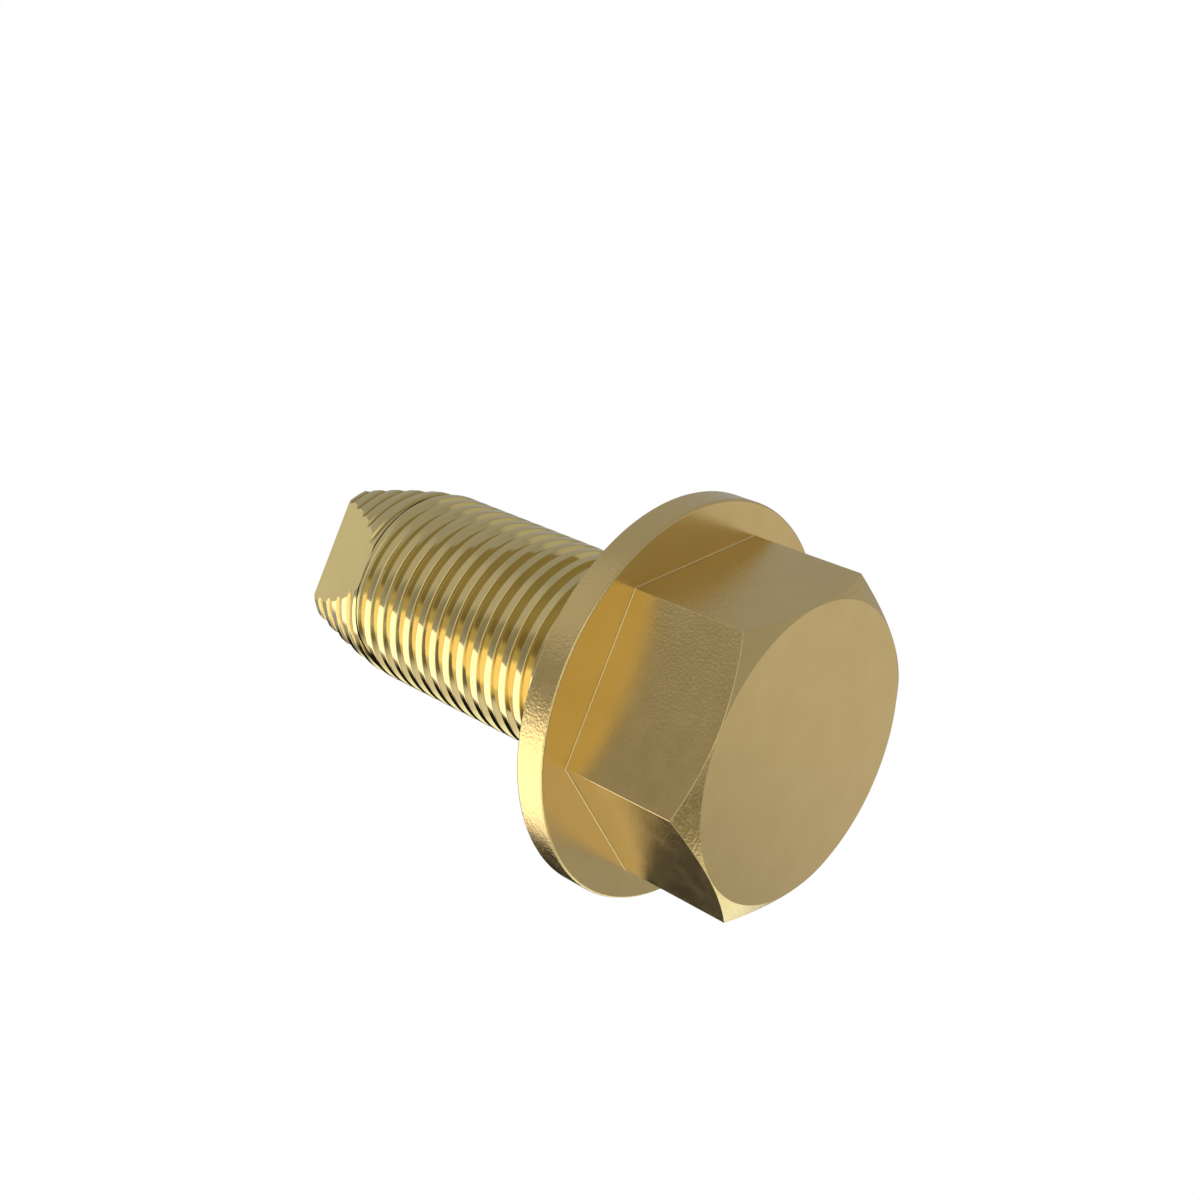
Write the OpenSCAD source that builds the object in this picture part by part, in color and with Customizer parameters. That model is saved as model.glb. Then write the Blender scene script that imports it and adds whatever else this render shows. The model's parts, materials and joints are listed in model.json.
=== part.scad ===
// Hex flange self-tapping screw, cold formed in one piece.
// It stands on the flat top of its head: z = 0 is that face, +Z runs along the axis to the tip.
// The shank is drawn as the plain envelope of its fine thread crests.

/* [Hex head] */
// Width of the hexagon across its flats
hex_af = 14; // [10:0.5:18]
// Height of the hexagon, from its flat top to the flange
hex_h = 6.4; // [4:0.1:9]
// Slope of the turned chamfer round the flat top, measured from that face
chamfer_angle = 30; // [15:1:40]
// Width of the narrow facet that breaks each upright edge of the hexagon
corner_facet_w = 0.1; // [0.05:0.05:0.8]

/* [Flange] */
// Diameter of the flange
flange_d = 19; // [18:0.5:28]
// Thickness of the flange
flange_t = 1.5; // [0.8:0.1:3]
// Edge break on both rims of the flange
flange_break = 0.12; // [0.05:0.01:0.3]

/* [Thread] */
// Diameter over the thread crests
thread_d = 10; // [8:0.5:11]
// Length of the full thread, which starts right at the flange
thread_l = 15.8; // [8:0.1:40]

/* [Tapered lead] */
// Length of the tapered lead, from the last full thread to the tip
lead_l = 4.45; // [3:0.05:8]
// How far the crests have come in on each side where the end chamfer starts
lead_drop = 0.65; // [0.2:0.05:1.2]
// Radius of the long arc that the lead tapers along
lead_arc_r = 28; // [20:1:60]
// Length of the end chamfer along the axis
end_chamfer_l = 0.2; // [0.1:0.05:1.5]
// How far the end chamfer comes in on each side
end_chamfer_w = 0.1; // [0.05:0.05:0.8]

/* [Cutting flats] */
// Number of slanted cutting flats round the lead
cut_count = 4; // [1:1:4]
// Slope of each cutting flat, measured from the axis
cut_angle = 19.5; // [15:0.5:24]
// Depth of a cutting flat below the crests where it starts, at the last full thread
cut_start_depth = 0.09; // [0.02:0.01:0.4]

/* [Hidden] */
$fn = 96;
thread_r = thread_d / 2;
flange_r = flange_d / 2;
hex_corner_r = hex_af / 2 / cos(30);
// A facet this wide across a 120 degree corner takes this much off the corner
corner_cut = corner_facet_w / 2 / tan(60);
bearing_z = hex_h + flange_t;
lead_z = bearing_z + thread_l;
tip_z = lead_z + lead_l;
chamfer_z = tip_z - end_chamfer_l;
lead_end_r = thread_r - lead_drop;
tip_r = lead_end_r - end_chamfer_w;
// How far the hexagon and the shank reach into the flange, so that they fuse
sink = flange_t / 2;

// Centre of the circle with radius r through two points, on the left of the way from p to q
function arc_centre(p, q, r) =
    let (
        way = q - p,
        left = [-way[1], way[0]] / norm(way),
        rise = sqrt(r * r - norm(way) * norm(way) / 4)
    )
    (p + q) / 2 + rise * left;

// Hexagon with its upright edges broken, one corner on +X, turned to a cone round its flat top
module hex_head() {
    intersection() {
        cylinder(h = hex_h + sink, r = hex_corner_r, $fn = 6);
        rotate(30) cylinder(h = hex_h + sink, r = (hex_corner_r - corner_cut) / cos(30), $fn = 6);
        cylinder(
            h = hex_h + sink,
            r1 = hex_af / 2,
            r2 = hex_af / 2 + (hex_h + sink) / tan(chamfer_angle)
        );
    }
}

// Round flange, flat on both faces
module flange() {
    translate([0, 0, hex_h])
        rotate_extrude()
            polygon([
                [0, 0],
                [flange_r - flange_break, 0],
                [flange_r, flange_break],
                [flange_r, flange_t - flange_break],
                [flange_r - flange_break, flange_t],
                [0, flange_t]
            ]);
}

// Full thread, plain at the diameter over its crests
module thread_envelope() {
    translate([0, 0, bearing_z - sink])
        cylinder(h = thread_l + sink, r = thread_r);
}

// Lead, tapering along an arc to the end chamfer and the flat end
module lead_envelope() {
    rotate_extrude()
        intersection() {
            polygon([
                [0, lead_z],
                [thread_r, lead_z],
                [thread_r, chamfer_z],
                [lead_end_r, chamfer_z],
                [tip_r, tip_z],
                [0, tip_z]
            ]);
            translate(arc_centre([thread_r, lead_z], [lead_end_r, chamfer_z], lead_arc_r))
                circle(r = lead_arc_r, $fn = 360);
        }
}

// Space cleared by one cutting flat, on the -Y side
module cutting_flat() {
    translate([-thread_d, -(thread_r - cut_start_depth), lead_z])
        rotate([-cut_angle, 0, 0])
            translate([0, -thread_d, -thread_d])
                cube([2 * thread_d, thread_d, thread_d + 2 * lead_l]);
}

module screw() {
    color("#bfa35f") {
        hex_head();
        flange();
        thread_envelope();
        difference() {
            lead_envelope();
            for (i = [0 : cut_count - 1]) rotate(i * 360 / cut_count) cutting_flat();
        }
    }
}

screw();
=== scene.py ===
import json
import math

import bmesh
import bpy
from mathutils import Euler, Matrix, Vector


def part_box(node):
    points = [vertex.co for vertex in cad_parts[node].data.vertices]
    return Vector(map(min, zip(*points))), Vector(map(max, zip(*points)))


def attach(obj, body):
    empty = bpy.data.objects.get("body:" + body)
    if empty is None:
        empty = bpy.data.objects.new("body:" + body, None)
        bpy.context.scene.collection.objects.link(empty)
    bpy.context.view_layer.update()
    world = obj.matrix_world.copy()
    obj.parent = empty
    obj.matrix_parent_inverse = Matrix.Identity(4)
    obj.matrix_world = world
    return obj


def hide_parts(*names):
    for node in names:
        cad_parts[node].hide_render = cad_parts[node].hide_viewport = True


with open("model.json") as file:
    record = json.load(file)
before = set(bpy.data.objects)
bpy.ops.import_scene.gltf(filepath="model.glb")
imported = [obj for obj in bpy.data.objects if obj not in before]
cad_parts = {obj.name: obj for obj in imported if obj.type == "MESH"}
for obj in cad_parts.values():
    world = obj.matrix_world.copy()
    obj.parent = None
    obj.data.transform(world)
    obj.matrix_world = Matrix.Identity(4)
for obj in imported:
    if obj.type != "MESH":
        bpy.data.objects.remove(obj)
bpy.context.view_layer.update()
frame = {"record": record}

# A hex flange self-tapping screw of brass, formed in one piece. It stands on the flat top of
# its head, so z = 0 is that face and +Z runs along the axis to the tip. The solid model has
# the plain envelope of the thread. This script puts the screw with its real thread in its place.

MM = 0.001
TINY = 1e-7

# Main sizes, from the frame and from the mounts in the record
mounts = {m["name"]: m for m in frame["record"]["mounts"]}
far_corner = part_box("screw")[1]
TIP_Z = far_corner[2]
FLANGE_R = far_corner[0]
THREAD_R = mounts["thread"]["dims"]["r_mm"] * MM
BEARING_Z = mounts["bearing_face"]["pos_m"][2]
LEAD_Z = BEARING_Z + mounts["thread"]["dims"]["length_mm"] * MM

# Hexagon: its turn from side to side in degrees, its width across flats, and its chamfer. Each
# upright edge is rounded over the width of a facet, and the edges of the chamfer are eased
HEX_SIDES = 6
HEX_TURN = 360 / HEX_SIDES
HEX_AF = 14 * MM
CHAMFER_SLOPE = math.radians(30)
CORNER_FACET = 0.045 * MM
EDGE = 0.022 * MM
FLAT_STEPS = 36
CORNER_STEPS = 3

# Flange with rounded rims, and the fillet at the foot of the hexagon
FLANGE_T = 1.5 * MM
FLANGE_BREAK = 0.12 * MM
HEX_H = BEARING_Z - FLANGE_T
HEX_FOOT = 0.07 * MM
# How far the middle of a quarter round of radius 1 lies from either of its two faces
ROUND_MIDDLE = 1 - math.sqrt(0.5)

# Thread: two ridges side by side, each with a flat crest, and a V groove between them
STARTS = 2
SPACING = 0.947 * MM
CREST_W = 0.42 * MM
GROOVE_HALF_ANGLE = math.radians(30)
CREST_EDGE = 0.045 * MM
ROOT_R = 0.035 * MM
ROOT_POINTS = (-1, -1 / 3, 1 / 3, 1)
# The tip side of a crest passes through this angle and this height
CREST_AT = Vector((math.radians(-84.5), 18.22 * MM))
TURN_STEPS = 192

# Tapered lead with shallow, lopsided grooves. It starts at a slit, the seam, in which a neck
# joins it to the full thread
SEAM_W = 0.085 * MM
LEAD_GROOVE = 0.12 * MM
LEAD_END_R = THREAD_R - 0.65 * MM
LEAD_ARC_R = 28 * MM
END_CHAMFER = Vector((0.1, 0.2)) * MM
CHAMFER_Z = TIP_Z - END_CHAMFER.y
NECK_R = 4.55 * MM
NECK_DEPTH = 1.5 * MM

# Slanted cutting flats round the lead
CUTS = 4
CUT_TURN = 2 * math.pi / CUTS
CUT_SLOPE = math.radians(19.5)
CUT_START_DEPTH = 0.09 * MM

# Faces are shaded as one below this angle. A face this near to a plane lies on it
SMOOTH_UP_TO = math.radians(50)
ON_PLANE = 20 * TINY

# Brass. A noise is its scale, in features per metre, and its detail
COLOUR_NOISE = (500, 3)
SATIN_NOISE = (900, 2)
GRAIN_NOISE = (8000, 1)
NOISE_SPAN = (0.3, 0.7)
HEAD_COLOURS = ((0.665, 0.505, 0.22, 1), (0.695, 0.535, 0.24, 1))
THREAD_COLOURS = ((0.665, 0.545, 0.255, 1), (0.695, 0.575, 0.275, 1))
HEAD_ROUGHNESS = (0.22, 0.27)
THREAD_ROUGHNESS = 0.09
GRAIN_DEPTH = 0.018 * MM
THREAD_GRAIN = 0.03
# Cosines of the tilt from the axis between which the grain ends
GRAIN_ENDS = (0.9, 0.97)

# Camera: 50 mm lens, low beside the head and looking up along the shank
CAMERA_AT = (5.381 * MM, -62.694 * MM, -34.933 * MM)
CAMERA_TURN = (153.4317, 47.0597, 58.0876)
LENS = 50
SENSOR_W = 36

# Floor just below the head, which fades into the white backdrop far from the screw
FLOOR_REACH = 2
FLOOR_GAP = 0.02 * MM
FLOOR_TONE = (0.87, 0.87, 0.87, 1)
FLOOR_ROUGHNESS = 0.9
FLOOR_FADE = (0.1, 0.45)

# Studio walls round the screw. A card's direction is as the camera sees it: to the right, up,
# and towards the camera. Then come its inner and outer angle in degrees, and its colour. Each
# card lies over those before it.
WALLS_R = 0.5
WALLS_SUBDIVISIONS = 4
WALLS_TONE = (0.435, 0.44, 0.45)
CARDS = (
    ("right", (0.88, -0.25, -0.4), 10, 30, (0.7, 0.67, 0.63)),
    ("far_right", (0.75, 0.63, 0.17), 12, 28, (0.39, 0.39, 0.4)),
    ("upper_right", (0.92, 0.4, 0.05), 8, 15, (0.58, 0.57, 0.52)),
    ("right_low", (0.74, -0.62, -0.26), 6, 17, (0.38, 0.38, 0.39)),
    ("upper_left", (-0.75, 0.63, 0.17), 10, 32, (0.58, 0.57, 0.56)),
    ("side", (-0.93, 0.13, 0.33), 10, 20, (0.32, 0.305, 0.28)),
    ("front", (0, 0, 1), 15, 40, (1.06, 1.03, 0.9)),
    ("back", (-0.68, 0.22, -0.70), 10, 22, (0.77, 0.74, 0.62)),
    ("low_front", (0.5, -0.86, -0.08), 12, 22, (0.96, 0.93, 0.88)),
    ("under", (0.47, -0.79, 0.39), 12, 17, (0.19, 0.18, 0.15)),
    ("dark", (-0.28, -0.5, -0.82), 18, 26, (0.01, 0.01, 0.01)),
    ("low", (0.17, -0.82, -0.54), 14, 27, (1.4, 1.5, 1.45)),
    ("softbox_side", (-0.82, -0.22, 0.53), 8, 16, (0.9, 0.88, 0.8)),
    ("softbox_below", (-0.42, -0.86, 0.15), 14, 24, (1.3, 1.25, 1.1)),
    ("softbox", (-0.85, -0.42, -0.3), 16, 20, (2.2, 2.05, 1.9)),
    ("softbox_end", (-0.92, -0.28, -0.12), 12, 14, (2.2, 2.05, 1.9)),
    ("softbox_front", (-0.8, -0.52, 0.28), 16, 22, (2.2, 2.05, 1.9)),
    ("softbox_low", (-0.68, -0.6, -0.3), 14, 18, (2.2, 2.05, 1.9)),
    ("softbox_under", (-0.11, -0.82, 0.56), 20, 28, (1.5, 1.45, 1.1)),
)

# World: white where the camera, metal or glass sees it, and a softer fill on the floor
WHITE = (1, 1, 1, 1)
FILL_AND_WHITE = (0.9, 1)

# Key lamp: a soft panel that points at the middle of the screw and gives it its shadow
KEY_AT = (-0.25, -0.1, 0.35)
KEY_WAY = (0.25, 0.1, -0.335)
KEY_SIZE = 0.25
KEY_POWER = 0.6


def new_object(name, bm):
    """An object in the scene from a bmesh, which is freed."""
    mesh = bpy.data.meshes.new(name)
    bm.to_mesh(mesh)
    bm.free()
    obj = bpy.data.objects.new(name, mesh)
    bpy.context.collection.objects.link(obj)
    return obj


def skin(bm, rings):
    """Quads between closed rings of the same number of vertices."""
    for a, b in zip(rings, rings[1:]):
        count = len(a)
        for i in range(count):
            j = (i + 1) % count
            bm.faces.new((a[i], a[j], b[j], b[i]))


def hex_outline():
    """Points round the hexagon, one corner on +X, with each corner rounded over its facet."""
    half_turn = math.radians(HEX_TURN / 2)
    turn = math.radians(HEX_TURN)
    half = HEX_AF / 2
    cut = CORNER_FACET / 2 / math.sin(turn)
    reach = half * math.tan(half_turn) - cut
    round_r = cut * math.tan(turn)
    centre_r = half / math.cos(half_turn) - round_r / math.sin(turn)
    points = []
    for side in range(HEX_SIDES):
        normal = math.radians(HEX_TURN / 2 + HEX_TURN * side)
        out = Vector((math.cos(normal), math.sin(normal)))
        along = Vector((-out.y, out.x))
        for i in range(FLAT_STEPS + 1):
            points.append(out * half + along * reach * (2 * i / FLAT_STEPS - 1))
        corner = normal + half_turn
        centre = Vector((math.cos(corner), math.sin(corner))) * centre_r
        for i in range(1, CORNER_STEPS):
            a = normal + turn * i / CORNER_STEPS
            points.append(centre + Vector((math.cos(a), math.sin(a))) * round_r)
    return points


def make_head():
    """Hexagon with its turned chamfer, and the round flange, as rings round one closed skin."""
    outline = hex_outline()
    slope = math.tan(CHAMFER_SLOPE)
    face_r = HEX_AF / 2 - 2 * EDGE
    half = EDGE / 2
    foot_middle = HEX_FOOT * ROUND_MIDDLE
    break_middle = FLANGE_BREAK * ROUND_MIDDLE

    def circle(r, z):
        return [(p.normalized() * r).to_3d() + Vector((0, 0, z)) for p in outline]

    def inset(d, z_of):
        ring = []
        for p in outline:
            q = p * (1 - d / p.length)
            ring.append(Vector((q.x, q.y, z_of(q.length))))
        return ring

    def on_cone(r):
        return (r - face_r) * slope

    rings = [
        circle(face_r - half, 0),
        circle(face_r + half * math.cos(CHAMFER_SLOPE), half * math.sin(CHAMFER_SLOPE)),
        inset(EDGE * math.cos(CHAMFER_SLOPE), on_cone),
        inset(0, lambda r: on_cone(r) + EDGE),
        inset(0, lambda r: HEX_H - HEX_FOOT),
        inset(-foot_middle, lambda r: HEX_H - foot_middle),
        inset(-HEX_FOOT, lambda r: HEX_H),
    ]
    quarter = ((FLANGE_BREAK, 0), (break_middle, break_middle), (0, FLANGE_BREAK))
    for inward, along in quarter:
        rings.append(circle(FLANGE_R - inward, HEX_H + along))
    for inward, along in reversed(quarter):
        rings.append(circle(FLANGE_R - inward, BEARING_Z - along))

    bm = bmesh.new()
    loops = [[bm.verts.new(p) for p in ring] for ring in rings]
    skin(bm, loops)
    bm.faces.new(loops[0])
    bm.faces.new(loops[-1])
    bmesh.ops.recalc_face_normals(bm, faces=bm.faces[:])
    return new_object("head", bm)


def thread_profile():
    """One ridge and the groove on its tip side: (distance along the axis, depth below the crests)."""
    tan, sin, cos = (f(GROOVE_HALF_ANGLE) for f in (math.tan, math.sin, math.cos))
    middle = (SPACING - CREST_W) / 2
    root = middle / tan - ROOT_R / sin
    profile = [
        (-CREST_W - CREST_EDGE * sin, CREST_EDGE * cos),
        (-CREST_W + CREST_EDGE, 0),
        (-CREST_EDGE, 0),
        (CREST_EDGE * sin, CREST_EDGE * cos),
    ]
    flank = math.pi / 2 - GROOVE_HALF_ANGLE
    for part in ROOT_POINTS:
        a = part * flank
        profile.append((middle + ROOT_R * math.sin(a), root + ROOT_R * math.cos(a)))
    return profile


def lead_profile():
    """The same for the lead: a steep side towards the head, then a long slope to the next crest."""
    tan, sin, cos = (f(GROOVE_HALF_ANGLE) for f in (math.tan, math.sin, math.cos))
    edge = CREST_EDGE / 2
    foot = SPACING - CREST_W - LEAD_GROOVE * tan
    return [
        (-CREST_W - edge * sin, edge * cos),
        (-CREST_W + edge, 0),
        (-edge, 0),
        (edge, edge * LEAD_GROOVE / foot),
        (foot - ROOT_R, LEAD_GROOVE * (1 - ROOT_R / foot)),
        (foot + ROOT_R * sin, LEAD_GROOVE - ROOT_R * cos),
    ]


def lead_drop(z):
    """How far the crests lie below those of the full thread at height z."""
    if z <= LEAD_Z:
        return 0
    if z > CHAMFER_Z:
        along = (z - CHAMFER_Z) / END_CHAMFER.y
        return THREAD_R - LEAD_END_R + along * END_CHAMFER.x
    chord = Vector((LEAD_END_R - THREAD_R, CHAMFER_Z - LEAD_Z))
    rise = math.sqrt(LEAD_ARC_R ** 2 - chord.length_squared / 4)
    inward = Vector((-chord.y, chord.x)).normalized() * rise
    centre = Vector((THREAD_R, LEAD_Z)) + chord / 2 + inward
    return THREAD_R - centre.x - math.sqrt(LEAD_ARC_R ** 2 - (z - centre.y) ** 2)


def cut_across(bm, z, clear_above=False, clear_below=False):
    """Cuts a mesh at one height, and clears what lies on one side of the cut."""
    bmesh.ops.bisect_plane(
        bm, geom=bm.verts[:] + bm.edges[:] + bm.faces[:], dist=TINY,
        plane_co=(0, 0, z), plane_no=(0, 0, 1),
        clear_outer=clear_above, clear_inner=clear_below,
    )


def cap(bm, z):
    """Closes the open edges at one height with a face."""
    edges = [e for e in bm.edges if e.is_boundary and all(abs(v.co.z - z) < TINY for v in e.verts)]
    bmesh.ops.contextual_create(bm, geom=edges)


def make_thread(profile, low, high):
    """Threaded bar from one height to the other, open at both ends."""
    rows = len(profile)
    # Some ridges are spare at both ends, because each column starts lower than the one before
    first = math.floor((low - CREST_AT[1]) / SPACING) - 1
    ridges = math.ceil((high - low) / SPACING) + 2 * STARTS + 3
    bm = bmesh.new()
    columns = []
    for i in range(TURN_STEPS):
        turn = i / TURN_STEPS
        angle = CREST_AT[0] + turn * 2 * math.pi
        side = Vector((math.cos(angle), math.sin(angle), 0))
        column = []
        for ridge in range(ridges):
            crest_z = CREST_AT[1] + (first + ridge - STARTS * turn) * SPACING
            for dz, depth in profile:
                column.append(bm.verts.new(side * (THREAD_R - depth) + Vector((0, 0, crest_z + dz))))
        columns.append(column)
    # After a whole turn a ridge has moved by as many ridges as there are starts
    for i in range(TURN_STEPS):
        last = i + 1 == TURN_STEPS
        a, b = columns[i], columns[0 if last else i + 1]
        move = STARTS * rows if last else 0
        for j in range(move, len(a) - 1):
            bm.faces.new((a[j], b[j - move], b[j - move + 1], a[j + 1]))
    cut_across(bm, low, clear_below=True)
    cut_across(bm, high, clear_above=True)
    bmesh.ops.delete(bm, geom=[v for v in bm.verts if not v.link_faces], context="VERTS")
    return bm


def set_radius(v, r):
    """Moves a vertex to this distance from the axis."""
    v.co.xy = v.co.xy.normalized() * r


def make_shank():
    """The full thread, closed at both ends, with its foot inside the flange."""
    foot_z = BEARING_Z - FLANGE_T / 2
    bm = make_thread(thread_profile(), foot_z, LEAD_Z)
    cap(bm, foot_z)
    cap(bm, LEAD_Z)
    bmesh.ops.recalc_face_normals(bm, faces=bm.faces[:])
    return new_object("shank", bm)


def make_lead():
    """The tapered lead, with a neck that reaches down into the full thread."""
    bm = make_thread(lead_profile(), LEAD_Z + SEAM_W, TIP_Z)
    cap(bm, TIP_Z)
    for v in bm.verts:
        set_radius(v, v.co.xy.length - lead_drop(v.co.z))
    rim = [e for e in bm.edges if e.is_boundary]
    for up in (SEAM_W, -NECK_DEPTH):
        made = bmesh.ops.extrude_edge_only(bm, edges=rim)["geom"]
        rim = [e for e in made if isinstance(e, bmesh.types.BMEdge)]
        for v in {v for e in rim for v in e.verts}:
            set_radius(v, NECK_R)
            v.co.z = LEAD_Z + up
    bmesh.ops.contextual_create(bm, geom=rim)
    bmesh.ops.recalc_face_normals(bm, faces=bm.faces[:])
    return new_object("lead", bm)


def make_cutter(number):
    """The space beside one cutting flat, from the seam to past the tip. The first faces -Y."""
    reach = 2 * THREAD_R
    start = Vector((0, CUT_START_DEPTH - THREAD_R, LEAD_Z))
    end = start + Vector((0, math.sin(CUT_SLOPE), math.cos(CUT_SLOPE))) * 2 * (TIP_Z - LEAD_Z)
    side = [start, end, Vector((0, -reach, end.z)), Vector((0, -reach, LEAD_Z))]
    bm = bmesh.new()
    left, right = ([bm.verts.new(p + Vector((x, 0, 0))) for p in side] for x in (-reach, reach))
    skin(bm, [left, right])
    bm.faces.new(left)
    bm.faces.new(right)
    bmesh.ops.recalc_face_normals(bm, faces=bm.faces[:])
    bm.transform(Matrix.Rotation(number * CUT_TURN, 4, "Z"))
    return new_object("cutter", bm)


def combine(obj, other, operation):
    """Adds another closed mesh to this one, or cuts it away."""
    mod = obj.modifiers.new(operation.lower(), "BOOLEAN")
    mod.operation = operation
    mod.solver = "MANIFOLD"
    mod.object = other
    shape = obj.evaluated_get(bpy.context.evaluated_depsgraph_get())
    mesh = bpy.data.meshes.new_from_object(shape)
    obj.modifiers.remove(mod)
    obj.data = mesh
    bpy.data.objects.remove(other)


def flat_faces():
    """The planes of the flat faces that meet the thread: (normal, distance from the origin)."""
    up = Vector((0, 0, 1))
    planes = [(up, TIP_Z), (up, BEARING_Z), (up, LEAD_Z), (up, LEAD_Z + SEAM_W)]
    for number in range(CUTS):
        turn = Matrix.Rotation(number * CUT_TURN, 3, "Z")
        normal = turn @ Vector((0, -math.cos(CUT_SLOPE), math.sin(CUT_SLOPE)))
        start = turn @ Vector((0, CUT_START_DEPTH - THREAD_R, LEAD_Z))
        planes.append((normal, normal.dot(start)))
    return planes


def plane_of(face, planes):
    """The number of the plane that the face lies on, or None."""
    for i, (normal, distance) in enumerate(planes):
        if all(abs(v.co.dot(normal) - distance) < ON_PLANE for v in face.verts):
            return i
    return None


def shade(obj):
    """Smooth normals in which the larger face wins, so that flats stay flat and edges glint."""
    planes = flat_faces()
    bm = bmesh.new()
    bm.from_mesh(obj.data)
    bmesh.ops.dissolve_degenerate(bm, edges=bm.edges[:], dist=TINY)
    for f in bm.faces:
        f.smooth = True
    plane = {f: plane_of(f, planes) for f in bm.faces}
    weight = {f: f.calc_area() ** 2 for f in bm.faces}
    normals = []
    for f in bm.faces:
        for v in f.verts:
            total = Vector()
            for g in v.link_faces:
                if plane[g] == plane[f] and f.normal.angle(g.normal, 0) < SMOOTH_UP_TO:
                    total += g.normal * weight[g]
            normals.append(total.normalized())
    bm.to_mesh(obj.data)
    bm.free()
    obj.data.normals_split_custom_set(normals)


def make_screw():
    """The whole screw as one closed mesh."""
    lead = make_lead()
    for number in range(CUTS):
        combine(lead, make_cutter(number), "DIFFERENCE")
    screw = make_head()
    combine(screw, make_shank(), "UNION")
    combine(screw, lead, "UNION")
    screw.name = "screw_threaded"
    shade(screw)
    return screw


def set_inputs(tree, node, inputs):
    """Links each input to the socket given for it, or gives it its value."""
    for key, value in inputs.items():
        if isinstance(value, bpy.types.NodeSocket):
            tree.links.new(value, node.inputs[key])
        else:
            node.inputs[key].default_value = value
    return node


def add_node(tree, kind, inputs=None, **settings):
    """A new shader node. The settings come first, because they can change its sockets."""
    node = tree.nodes.new("ShaderNode" + kind)
    for name, value in settings.items():
        setattr(node, name, value)
    return set_inputs(tree, node, inputs or {})


def map_range(tree, value, source, target=(0, 1), **settings):
    """The value carried from one range to another, and held at the ends."""
    inputs = {
        "Value": value,
        "From Min": source[0],
        "From Max": source[1],
        "To Min": target[0],
        "To Max": target[1],
    }
    return add_node(tree, "MapRange", inputs, **settings).outputs["Result"]


def blend(tree, factor, a, b, **settings):
    """From a to b as the factor goes from 0 to 1."""
    return add_node(tree, "Mix", {"Factor": factor, "A": a, "B": b}, **settings).outputs["Result"]


def larger(tree, a, b):
    """The larger of two values."""
    return add_node(tree, "Math", {0: a, 1: b}, operation="MAXIMUM").outputs["Value"]


def along_axis(tree, vector):
    """The part of a vector along the screw's axis."""
    return add_node(tree, "SeparateXYZ", {"Vector": vector}).outputs["Z"]


def new_material(name):
    """A material and its node tree."""
    mat = bpy.data.materials.new(name)
    mat.use_nodes = True
    return mat, mat.node_tree


def brass():
    """Satin brass on the head and flange, smoother on the rolled thread."""
    mat, tree = new_material("brass")
    coords = add_node(tree, "TexCoord").outputs

    def noise(scale, detail):
        inputs = {"Vector": coords["Object"], "Scale": scale, "Detail": detail}
        return add_node(tree, "TexNoise", inputs).outputs["Fac"]

    height = along_axis(tree, coords["Object"])
    on_thread = map_range(tree, height, (BEARING_Z - TINY, BEARING_Z + TINY))
    patches = map_range(tree, noise(*COLOUR_NOISE), NOISE_SPAN)
    head = blend(tree, patches, *HEAD_COLOURS, data_type="RGBA")
    thread = blend(tree, patches, *THREAD_COLOURS, data_type="RGBA")
    satin = map_range(tree, noise(*SATIN_NOISE), NOISE_SPAN, HEAD_ROUGHNESS)

    # Grain on the formed sides, and none on the flat faces square to the axis
    facing = along_axis(tree, coords["Normal"])
    square = add_node(tree, "Math", {0: facing}, operation="ABSOLUTE").outputs["Value"]
    formed = map_range(tree, square, GRAIN_ENDS, (1, 0))
    grain = add_node(tree, "Bump", {
        "Distance": GRAIN_DEPTH,
        "Strength": blend(tree, on_thread, formed, THREAD_GRAIN),
        "Height": noise(*GRAIN_NOISE),
    })
    set_inputs(tree, tree.nodes["Principled BSDF"], {
        "Metallic": 1.0,
        "Base Color": blend(tree, on_thread, head, thread, data_type="RGBA"),
        "Roughness": blend(tree, on_thread, satin, THREAD_ROUGHNESS),
        "Normal": grain.outputs["Normal"],
    })
    return mat


def make_camera():
    """The camera that sees the screw as the photograph does."""
    camera = bpy.data.objects.new("camera", bpy.data.cameras.new("camera"))
    bpy.context.collection.objects.link(camera)
    camera.location = CAMERA_AT
    camera.rotation_euler = Euler([math.radians(a) for a in CAMERA_TURN])
    camera.data.lens = LENS
    camera.data.sensor_width = SENSOR_W
    camera.data.clip_start = 1 * MM
    bpy.context.scene.camera = camera
    return camera


def make_floor():
    """Seen from above only, so that it doesn't hide the screw from a camera that looks up."""
    bm = bmesh.new()
    bmesh.ops.create_grid(bm, x_segments=1, y_segments=1, size=FLOOR_REACH)
    bmesh.ops.translate(bm, verts=bm.verts[:], vec=(0, 0, -FLOOR_GAP))
    obj = new_object("floor", bm)

    mat, tree = new_material("floor")
    paint = set_inputs(tree, tree.nodes["Principled BSDF"], {
        "Base Color": FLOOR_TONE,
        "Roughness": FLOOR_ROUGHNESS,
    })
    place = add_node(tree, "TexCoord").outputs["Object"]
    far = add_node(tree, "VectorMath", {0: place}, operation="LENGTH").outputs["Value"]
    fade = map_range(tree, far, FLOOR_FADE, interpolation_type="SMOOTHSTEP")
    from_below = add_node(tree, "NewGeometry").outputs["Backfacing"]
    surface = add_node(tree, "MixShader", {
        "Fac": larger(tree, from_below, fade),
        1: paint.outputs["BSDF"],
        2: add_node(tree, "BsdfTransparent").outputs["BSDF"],
    })
    set_inputs(tree, tree.nodes["Material Output"], {"Surface": surface.outputs["Shader"]})

    obj.data.materials.append(mat)
    obj.visible_glossy = False
    obj.visible_shadow = False


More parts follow.
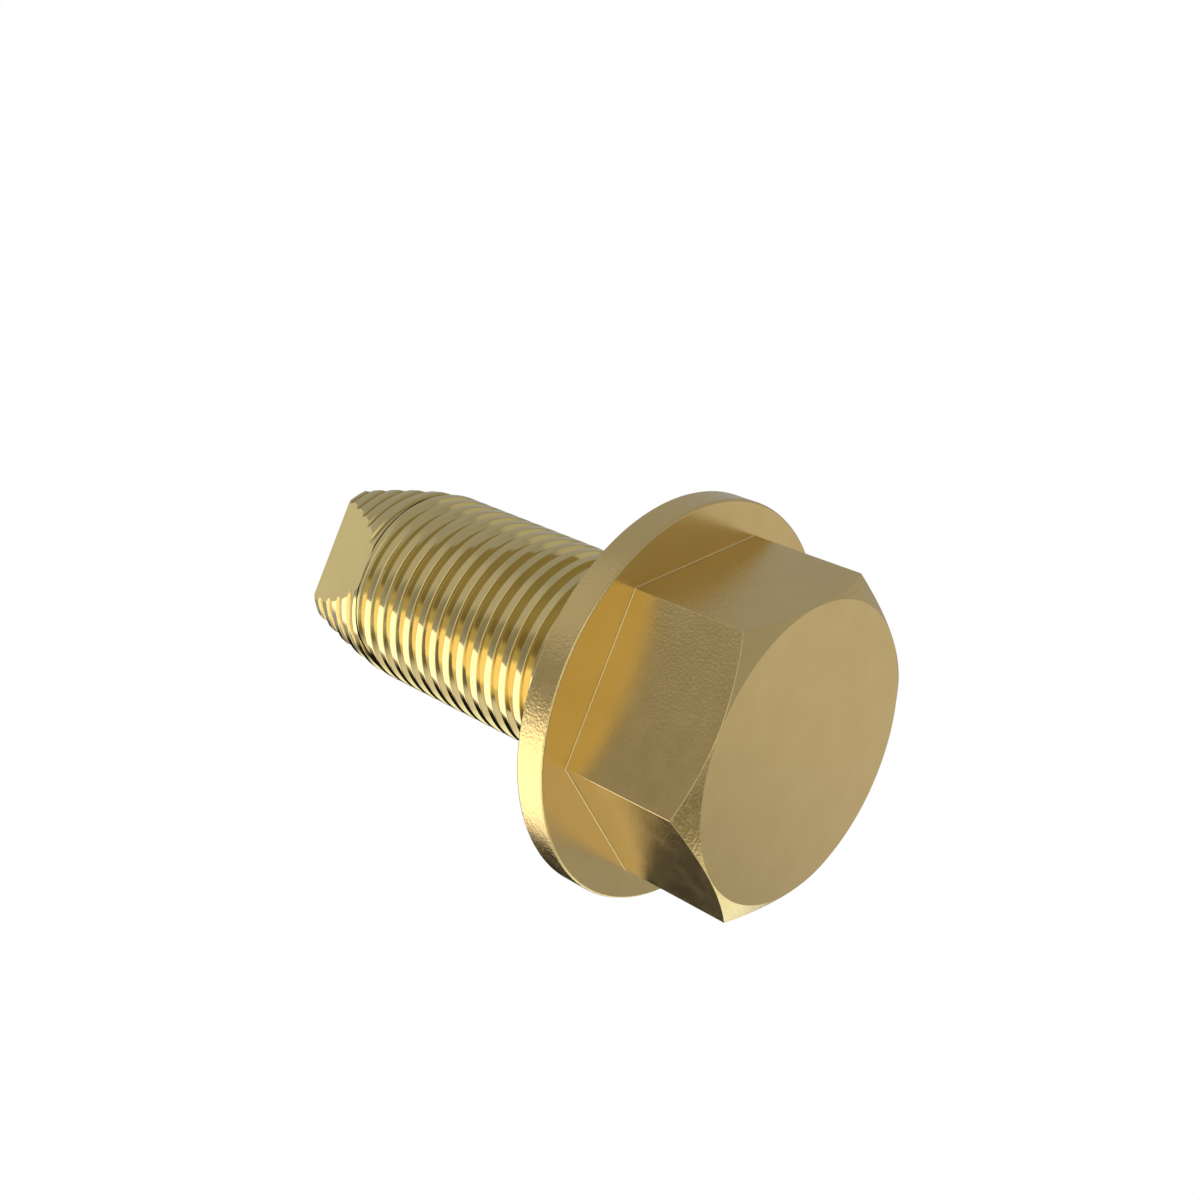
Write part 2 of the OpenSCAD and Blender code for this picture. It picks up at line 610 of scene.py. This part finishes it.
def make_walls(camera):
    """Round studio walls with soft cards, which only the screw's metal sees."""
    bm = bmesh.new()
    bmesh.ops.create_icosphere(bm, subdivisions=WALLS_SUBDIVISIONS, radius=WALLS_R)
    bmesh.ops.reverse_faces(bm, faces=bm.faces[:])
    obj = new_object("studio_walls", bm)

    mat, tree = new_material("studio_walls")
    tree.nodes.remove(tree.nodes["Principled BSDF"])
    place = add_node(tree, "TexCoord").outputs["Object"]
    unit = add_node(tree, "VectorMath", {0: place}, operation="NORMALIZE").outputs["Vector"]
    camera_axes = camera.rotation_euler.to_matrix()
    tone = (*WALLS_TONE, 1)
    for name, way, inner, outer, colour in CARDS:
        middle = (camera_axes @ Vector(way)).normalized()
        dot = add_node(tree, "VectorMath", {0: unit, 1: middle}, operation="DOT_PRODUCT")
        edge = (math.cos(math.radians(outer)), math.cos(math.radians(inner)))
        card = map_range(tree, dot.outputs["Value"], edge, interpolation_type="SMOOTHSTEP")
        tone = blend(tree, card, tone, (*colour, 1), data_type="RGBA", name=name)
    glow = add_node(tree, "Emission", {"Color": tone}).outputs["Emission"]
    set_inputs(tree, tree.nodes["Material Output"], {"Surface": glow})
    mat.cycles.emission_sampling = "NONE"

    obj.data.materials.append(mat)
    obj.visible_camera = False
    obj.visible_diffuse = False
    obj.visible_transmission = False
    obj.visible_shadow = False


def make_world():
    """White backdrop, with a softer fill for what isn't seen or mirrored."""
    world = bpy.data.worlds.new("studio")
    bpy.context.scene.world = world
    world.use_nodes = True
    tree = world.node_tree
    ray = add_node(tree, "LightPath").outputs
    mirrored = larger(tree, ray["Is Glossy Ray"], ray["Is Transmission Ray"])
    seen = larger(tree, ray["Is Camera Ray"], mirrored)
    set_inputs(tree, tree.nodes["Background"], {
        "Color": WHITE,
        "Strength": map_range(tree, seen, (0, 1), FILL_AND_WHITE),
    })


def make_key_lamp():
    """The soft panel, which the metal doesn't mirror."""
    lamp = bpy.data.objects.new("key", bpy.data.lights.new("key", "AREA"))
    bpy.context.collection.objects.link(lamp)
    lamp.data.size = KEY_SIZE
    lamp.data.energy = KEY_POWER
    lamp.location = KEY_AT
    lamp.rotation_euler = Vector(KEY_WAY).to_track_quat("-Z", "Y").to_euler()
    lamp.visible_glossy = False


screw = make_screw()
screw.data.materials.clear()
screw.data.materials.append(brass())
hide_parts("screw")
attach(screw, "root")

camera = make_camera()
make_floor()
make_walls(camera)
make_world()
make_key_lamp()
bpy.context.scene.view_settings.view_transform = "Standard"
